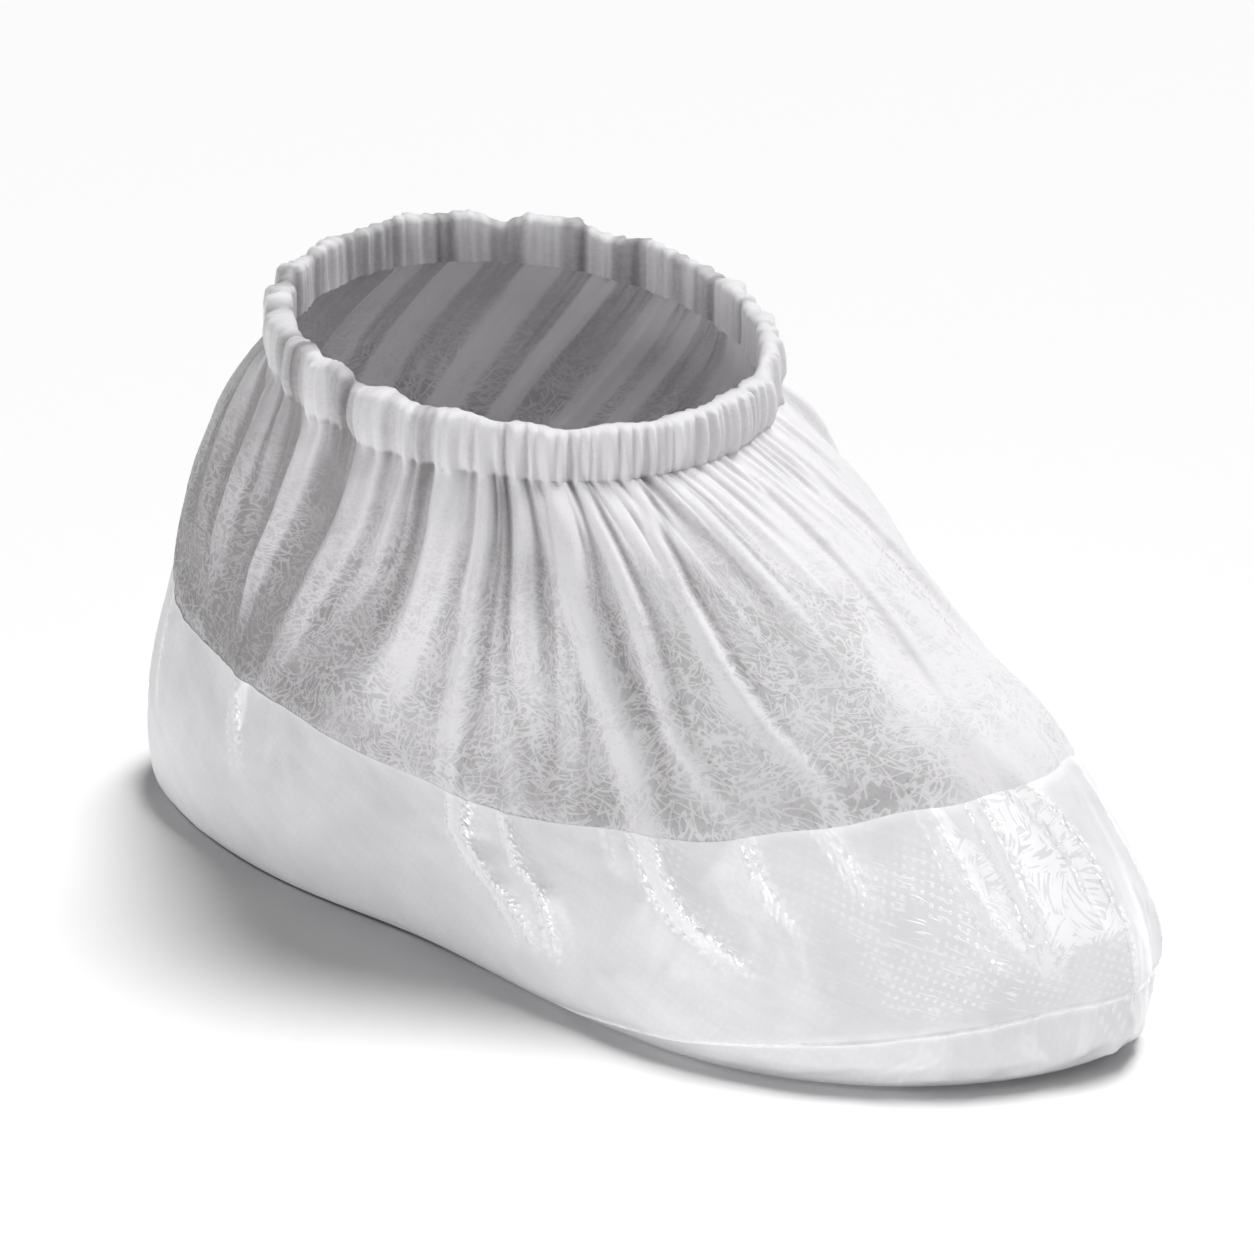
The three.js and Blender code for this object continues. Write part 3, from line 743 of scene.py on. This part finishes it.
filmSheet = {
    "columns": 680, "quickColumns": 300,
    "soleRows": 12, "soleMiddle": 0.0008, "rowsUnder": 19, "rowsOver": 36,
    # mm; the weld is drawn as degrees, height
    "weldRise": 0.7, "weldWidth": 0.55, "weldStep": 0.8, "lowestWeld": 4,
    "curl": 2.0, "curlTop": 6, "tuck": 0.8, "edgeInset": 0.25,
    "weldPath": [(-84, 0), (-77, 1.6), (-66, 5), (-50, 11), (-35, 15), (-20, 18), (0, 18.6),
                 (25, 17), (55, 10), (78, 1.6), (84, 0)],
    # patch beside the toe painted bright as a reflection, and a paler band before it: height, degrees of
    # one side, of the other; the patch's lower end: degrees, height
    "patch": [(24, -17.6, -4.2), (29, -18.4, -4.2), (36, -19.2, -6.4), (43, -19.7, -7.9), (48, -20.2, -10.4)],
    "patchEnd": [(-20, 25), (-18, 26), (-16, 28.4), (-13, 29.6), (-4, 29)],
    "band": [(26, -20, -18.6), (28, -21.4, -19.2), (32, -25, -19.8), (35, -25.9, -20.6), (39, -26.5, -22.2),
             (44, -26.5, -25.2), (48, -26.5, -26)],
    # how pale each place is painted, from dim at 0 to full colour at 1
    # painted highlights on flank, crest, weld and cut edge; painted reflection on the patch; painted shade on
    # dim, border and the toe's far side
    "tone": {
        "base": 0.33, "flank": 0.7, "dim": -0.12, "crest": 0.5, "weld": 0.9, "edge": 0.4, "patch": 0.6,
        "band": 0.5, "toeShade": -0.28, "border": -0.45, "toe": 0.2, "heel": -0.14, "cloud": 0.08},
    # shine: where glints are painted on dots and wrinkles; the patch keeps little of it
    "soleTone": 0.5, "leastShine": 0.06, "creaseShine": 0.2, "patchShine": 0.7, "shinyAt": (31, 10),
    "leastThread": 0.03, "patchThread": 0.7, "bandThread": 0.55,
    # where each begins and is full: degrees from the toe or mm
    "spans": {
        "wavy": (95, 140), "weldEnd": (74, 82), "calm": (45, 75), "plainEnd": (30, 50), "heel": (75, 110),
        "flutterTop": (0, 9), "flutterLow": (0.2, 3), "tuck": (0.2, 2.0), "tuckRise": (0, 10),
        "tuckLow": (0, 5), "folds": (0, 12), "crumple": (4, 14), "crumpleTop": (-5, -1),
        "cutEdge": (-1.4, 0), "paleEdge": (-1.6, -0.2), "patchEnd": (-0.6, 0.6), "bandLow": (25, 30),
        "shineLow": (17, 24), "shineTop": (37, 45), "creaseShine": (0.3, 1.2), "crestLow": (10, 18)},
    # the film itself, in metres
    "thickness": 0.00025, "colour": (0.98, 0.973, 0.99, 1), "dim": (0.655, 0.65, 0.675, 1),
    "slant": 0.5, "dotPitch": 0.0023, "dotRandom": 0.06, "dotSize": (0.29, 0.2),
    "wrinkles": (190, 1400, 1), "wrinkleLine": (0.66, 0.78, 0.0, 0.8),
    "faint": (16, 230, 1), "faintWeight": 0.22,
    "beadPitch": 0.0021, "beadSize": (0.44, 0.28), "domeSize": (0.5, 0.0),
    "lumpScale": 260, "lumpWeight": 4.0,
    "hatch": (120, 0.5, 10.0, 1.4), "hatchLine": (0.50, 0.64), "hatchMiddle": 0.3,
    "crinkleScale": 150, "cloudScale": 60, "cloudMask": (0.34, 0.5), "paleWeight": 0.8, "cloudWeight": 0.35,
    "markHeight": 0.4, "crinkleHeight": 0.5, "domeHeight": 0.5, "bumpStrength": 0.7, "bumpDepth": 0.0004,
    "glossFrom": (0.1, 0.6), "roughness": (0.36, 0.11), "specular": (0.6, 1.0),
}


# 1 between two lines up the film, 1 beyond the second, and 1 on the lines
def between(degrees, height, lines, soft):
    heights, first, second = zip(*lines)
    begin, past = (degrees - np.interp(height, heights, line) for line in (first, second))
    border = bell(begin, -soft, 0.35) + bell(past, soft, 0.35)
    return step(-soft, soft, begin) * (1 - step(-soft, soft, past)), step(-soft, soft, past), border


# a value for the rows of the sole before those of the sides
def withSole(value, onSole):
    return np.concatenate([np.full((filmSheet["soleRows"], value.shape[1]), onSole), value])


def makeFilm():
    columns = filmSheet["columns"]
    angle = np.linspace(-math.pi, math.pi, columns, endpoint=False)
    ankle = np.interp(angle, filmTurn, ankleTurn)
    degrees = np.degrees(angle)
    fromToe = np.abs(degrees)
    span = filmSheet["spans"]
    wave = 0.6 + 0.7 * step(*span["wavy"], fromToe)  # the edge waves, most at the heel
    top = filmTop + wave * bumps(angle, np.zeros_like(angle), size=24, seed=41)
    weldLine = np.interp(degrees, *zip(*filmSheet["weldPath"]))
    line = np.maximum(weldLine, filmSheet["lowestWeld"])  # the rows follow the weld
    beside = filmSheet["weldStep"]
    under = np.linspace(0, 1, filmSheet["rowsUnder"])[:, None] * (line - beside)
    onWeld = line + beside / 2 * np.array([[-1], [0], [1]])
    over = line + beside + np.linspace(0, 1, filmSheet["rowsOver"])[:, None] * (top - line - beside)
    h = np.concatenate([under, onWeld, over])
    a = np.broadcast_to(angle, h.shape)
    made = relief(np.broadcast_to(ankle, h.shape), h)
    weld = bell(h, weldLine, filmSheet["weldWidth"]) * (1 - step(*span["weldEnd"], fromToe))
    weld *= np.clip(0.9 + 0.2 * bumps(a, h, size=6, seed=45), 0, 1)
    flutter = (0.9 - 0.75 * step(*span["calm"], fromToe)) * bumps(a, h, size=11, seed=43)
    flutter = flutter * (1 - step(*span["flutterTop"], h)) * step(*span["flutterLow"], h)
    # the lower edge turns in, and the film is drawn in under the weld
    curl = -filmSheet["curl"] * np.clip(1 - h / filmSheet["curlTop"], 0, 1) ** 2
    tuck = filmSheet["tuck"] * (step(*span["tuck"], h - weldLine) - 1) * step(*span["tuckRise"], weldLine)
    toe = bell(degrees, 0, 45)
    crumple = ridges(bumps(a, h, size=26, seed=47, stretch=1.4), 0.6)
    crumple = crumple + 0.6 * ridges(bumps(a, h, size=13, seed=48), 0.5)
    crumple = crumple * step(*span["crumple"], h) * (1 - step(*span["crumpleTop"], h - top))
    lift = made["lift"] * step(*span["folds"], h) + filmSheet["weldRise"] * weld + flutter + curl
    lift += (0.25 + 0.1 * toe) * crumple + tuck * step(*span["tuckLow"], h)
    lift -= filmSheet["edgeInset"] * step(*span["cutEdge"], h - top)  # the cut edge lies on the upper
    sides = form(a, h) + outward(a, h) * lift[..., None]
    inwards = np.linspace(filmSheet["soleMiddle"], 1, filmSheet["soleRows"] + 1)
    sole = sides[0] * inwards[:-1, None, None]
    sole[..., 2] = soleRise(sole[..., 0])
    points = np.concatenate([sole, sides])
    points[..., 2] = np.maximum(points[..., 2], 0)
    # the patch is painted bright as a reflection, its borders painted in shade
    inPatch, beyond, border = between(degrees, h, filmSheet["patch"], 0.4)
    aboveEnd = step(*span["patchEnd"], h - np.interp(degrees, *zip(*filmSheet["patchEnd"])))
    patch = inPatch * aboveEnd
    # the far side of the toe, painted in shade
    toeShade = beyond * (1 - step(*span["plainEnd"], degrees))  # plain side of the toe
    band = between(degrees, h, filmSheet["band"], 0.8)[0] * step(*span["bandLow"], h)
    # painted highlights on crease flanks, crests, the weld and the cut edge; painted shade on toe-side
    # flanks, patch borders and the toe's far side
    pale = weigh(filmSheet["tone"], {
        "flank": made["flank"], "dim": made["dim"], "crest": made["crest"], "weld": weld,
        "edge": step(*span["paleEdge"], h - top), "patch": patch, "band": band, "toeShade": toeShade,
        "border": border * aboveEnd, "toe": toe, "heel": step(*span["heel"], fromToe),
        "cloud": bumps(a, h, size=30, seed=44, stretch=1.5)})
    # where glints are painted on dots and wrinkles, which are glossier there too
    shine = bell(fromToe, *filmSheet["shinyAt"]) * step(*span["shineLow"], h)
    shine = shine * (1 - step(*span["shineTop"], h)) + filmSheet["leastShine"]
    shine = shine + filmSheet["creaseShine"] * step(*span["creaseShine"], made["crease"])
    shine = np.clip(shine, 0, 1) * (1 - toeShade) * (1 - filmSheet["patchShine"] * patch)
    # crest: where glints are painted as beads, along creases and the weld
    crest = np.clip(1.5 * made["crest"] + 1.3 * made["rim"], 0, 1) * step(*span["crestLow"], h) + 0.5 * weld
    thread = filmSheet["leastThread"] + filmSheet["patchThread"] * patch + filmSheet["bandThread"] * band
    values = {
        "pale": withSole(np.clip(pale, 0, 1), filmSheet["soleTone"]),
        "shine": withSole(shine, filmSheet["leastShine"]),
        "crest": withSole(crest, 0.0), "thread": withSole(thread, 0.0)}
    flat = flatMap(points, slice(filmSheet["soleRows"], None))
    piece = sheetMesh("film_foot_sheet", points, flat, values, filmSheet["soleRows"])
    thicken(piece, filmSheet["thickness"])
    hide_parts("film_foot")
    piece.data.materials.append(filmMaterial())
    return piece


def filmMaterial():
    material, tree = newMaterial("glossy film")
    flat = flatOf(tree)
    slanted = turned(tree, flat, filmSheet["slant"])
    # dots painted white as glints, also embossed
    grid = cells(tree, slanted, 1 / filmSheet["dotPitch"], filmSheet["dotRandom"])
    dots = ramp(tree, grid["Distance"], *filmSheet["dotSize"])
    # long thin wrinkles along the rows of dots with painted glints, and faint ones all over the film
    wrinkles = noise(tree, stretched(tree, slanted, filmSheet["wrinkles"]), 1.0, 0.0)
    streaks = ramp(tree, wrinkles, *filmSheet["wrinkleLine"])
    faint = noise(tree, stretched(tree, slanted, filmSheet["faint"]), 1.0, 3.0)
    faintLines = times(tree, minus(tree, faint, 0.5), filmSheet["faintWeight"])
    # glints painted as bright beads along the creases, on domed bumps
    crest = painted(tree, "crest")
    pearls = cells(tree, flat, 1 / filmSheet["beadPitch"])
    beads = times(tree, ramp(tree, pearls["Distance"], *filmSheet["beadSize"]), crest)
    lumps = times(tree, noise(tree, flat, filmSheet["lumpScale"], 1.0), filmSheet["lumpWeight"])
    domes = plus(tree, ramp(tree, pearls["Distance"], *filmSheet["domeSize"]), lumps)
    crinkle = noise(tree, flat, filmSheet["crinkleScale"], 2.0, 0.6)
    cloud = noise(tree, flat, filmSheet["cloudScale"])
    # painted glints of dots, wrinkles and beads, which are also bumped and glossier
    glintMarks = larger(tree, times(tree, dots, ramp(tree, cloud, *filmSheet["cloudMask"])), streaks)
    glintMarks = plus(tree, times(tree, glintMarks, painted(tree, "shine")), beads)
    height = times(tree, glintMarks, filmSheet["markHeight"])
    height = plus(tree, height, times(tree, crinkle, filmSheet["crinkleHeight"]))
    height = plus(tree, height, times(tree, times(tree, domes, crest), filmSheet["domeHeight"]))
    fibres = ramp(tree, hatch(tree, flat, *filmSheet["hatch"]), *filmSheet["hatchLine"])
    thread = times(tree, minus(tree, filmSheet["hatchMiddle"], fibres), painted(tree, "thread"))
    share = times(tree, painted(tree, "pale"), filmSheet["paleWeight"])
    share = plus(tree, share, times(tree, cloud, filmSheet["cloudWeight"]))
    share = plus(tree, plus(tree, share, faintLines), glintMarks)
    share = plus(tree, share, thread, clamp=True)
    glossy = larger(tree, glintMarks, crest)
    surface(tree, principled(tree, {
        "Base Color": mixColour(tree, share, filmSheet["dim"], filmSheet["colour"]),
        "Roughness": ramp(tree, glossy, *filmSheet["glossFrom"], *filmSheet["roughness"]),
        "Specular IOR Level": ramp(tree, glossy, *filmSheet["glossFrom"], *filmSheet["specular"]),
        "Normal": bumpOf(tree, height, filmSheet["bumpStrength"], filmSheet["bumpDepth"])}))
    return material


elasticBand = {
    "columns": 240, "rows": 6, "low": 146.5, "high": 153.5, "outside": 1.7, "inside": 2.7,  # mm
    # the grooves between the ribs are painted darker as shade
    "colour": (0.86, 0.85, 0.83, 1), "grooveShade": (0.74, 0.73, 0.71, 1),
    "ribScale": 320, "ribDepth": 0.0003, "roughness": 0.85,
}


def makeElastic():
    angle = np.linspace(-math.pi, math.pi, elasticBand["columns"], endpoint=False)
    rows = elasticBand["rows"]
    up = np.linspace(elasticBand["low"], elasticBand["high"], rows)
    height = np.concatenate([up, up[::-1], up[:1]])
    outside, inside = np.full(rows, elasticBand["outside"]), np.full(rows, elasticBand["inside"])
    inset = np.concatenate([outside, inside, outside[:1]])
    h, a = np.meshgrid(height, angle, indexing="ij")
    points = form(a, h) - outward(a, h) * inset[:, None, None]
    piece = sheetMesh("ankle_elastic_band", points, flatMap(points, slice(0, rows)), {})
    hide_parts("ankle_elastic")
    material, tree = newMaterial("ribbed elastic")
    ribs = node(tree, "ShaderNodeTexWave", wave_type="BANDS", bands_direction="Y")
    ribs.inputs["Scale"].default_value = elasticBand["ribScale"]
    feed(tree, ribs.inputs["Vector"], flatOf(tree))
    rib = ribs.outputs["Fac"]
    surface(tree, principled(tree, {
        "Base Color": mixColour(tree, rib, elasticBand["grooveShade"], elasticBand["colour"]),
        "Roughness": elasticBand["roughness"], "Normal": bumpOf(tree, rib, 1.0, elasticBand["ribDepth"])}))
    piece.data.materials.append(material)
    return piece


upper = makeUpper()
print("upper made")
film = makeFilm()
print("film made")
elastic = makeElastic()
print("elastic made")

studio = {
    "floor": (0.978, 0.978, 0.978, 1), "floorSize": 30, "floorRoughness": 0.6, "world": 0.09,
    "camera": (0.8074, -0.9662, 0.6104), "aim": (0.0, 0.004, 0.078), "lens": 152,
    # from, spread in degrees, strength, what it falls on
    "suns": [((0.18, 0.45, 1.0), 42, 3.32, "cover"), ((-0.15, -0.9, 0.06), 26, 1.68, "cover"),
             ((0.09, 0.23, 1.0), 22, 3.1, "floor")],
    # place, size, power; these fall on the cover
    "lamps": [((0.99, 0.55, 0.90), 0.14, 0.7), ((0.40, -0.45, 1.3), 0.12, 0.8),
              ((1.2, -0.5, 0.5), 0.16, 1.3)],
    "lampAim": (0.02, 0, 0.06),
}


def lookAt(place, aim):
    return (Vector(aim) - Vector(place)).to_track_quat("-Z", "Y").to_euler()


def makeStudio():
    bpy.ops.mesh.primitive_plane_add(size=studio["floorSize"])
    floor = bpy.context.object
    floor.name = "studio floor"
    material, tree = newMaterial("pale floor")
    surface(tree, principled(tree, {"Base Color": studio["floor"], "Roughness": studio["floorRoughness"]}))
    floor.data.materials.append(material)

    world = bpy.data.worlds.new("studio white")
    world.use_nodes = True
    world.node_tree.nodes["Background"].inputs[0].default_value = (1, 1, 1, 1)
    world.node_tree.nodes["Background"].inputs[1].default_value = studio["world"]
    scene.world = world

    # each light falls on the cover or on the floor alone, so the shadow stays dark and short
    lit = {"cover": bpy.data.collections.new("lit cover"), "floor": bpy.data.collections.new("lit floor")}
    for piece in (upper, film, elastic):
        lit["cover"].objects.link(piece)
    lit["floor"].objects.link(floor)
    for k, (place, spread, strength, onto) in enumerate(studio["suns"]):
        light = bpy.data.lights.new(f"soft_sky_{k}", "SUN")
        light.angle = math.radians(spread)
        light.energy = strength
        lamp = bpy.data.objects.new(light.name, light)
        lamp.rotation_euler = lookAt(place, (0, 0, 0))
        lamp.light_linking.receiver_collection = lit[onto]
        scene.collection.objects.link(lamp)
    for k, (place, size, power) in enumerate(studio["lamps"]):
        light = bpy.data.lights.new(f"softbox_{k}", "AREA")
        light.size = size
        light.energy = power
        lamp = bpy.data.objects.new(light.name, light)
        lamp.location = place
        lamp.rotation_euler = lookAt(place, studio["lampAim"])
        lamp.light_linking.receiver_collection = lit["cover"]
        scene.collection.objects.link(lamp)

    lens = bpy.data.cameras.new("camera")
    lens.lens = studio["lens"]
    camera = bpy.data.objects.new("camera", lens)
    camera.location = studio["camera"]
    camera.rotation_euler = lookAt(studio["camera"], studio["aim"])
    scene.collection.objects.link(camera)
    scene.camera = camera
    scene.view_settings.view_transform = "Standard"


makeStudio()
print("studio made")
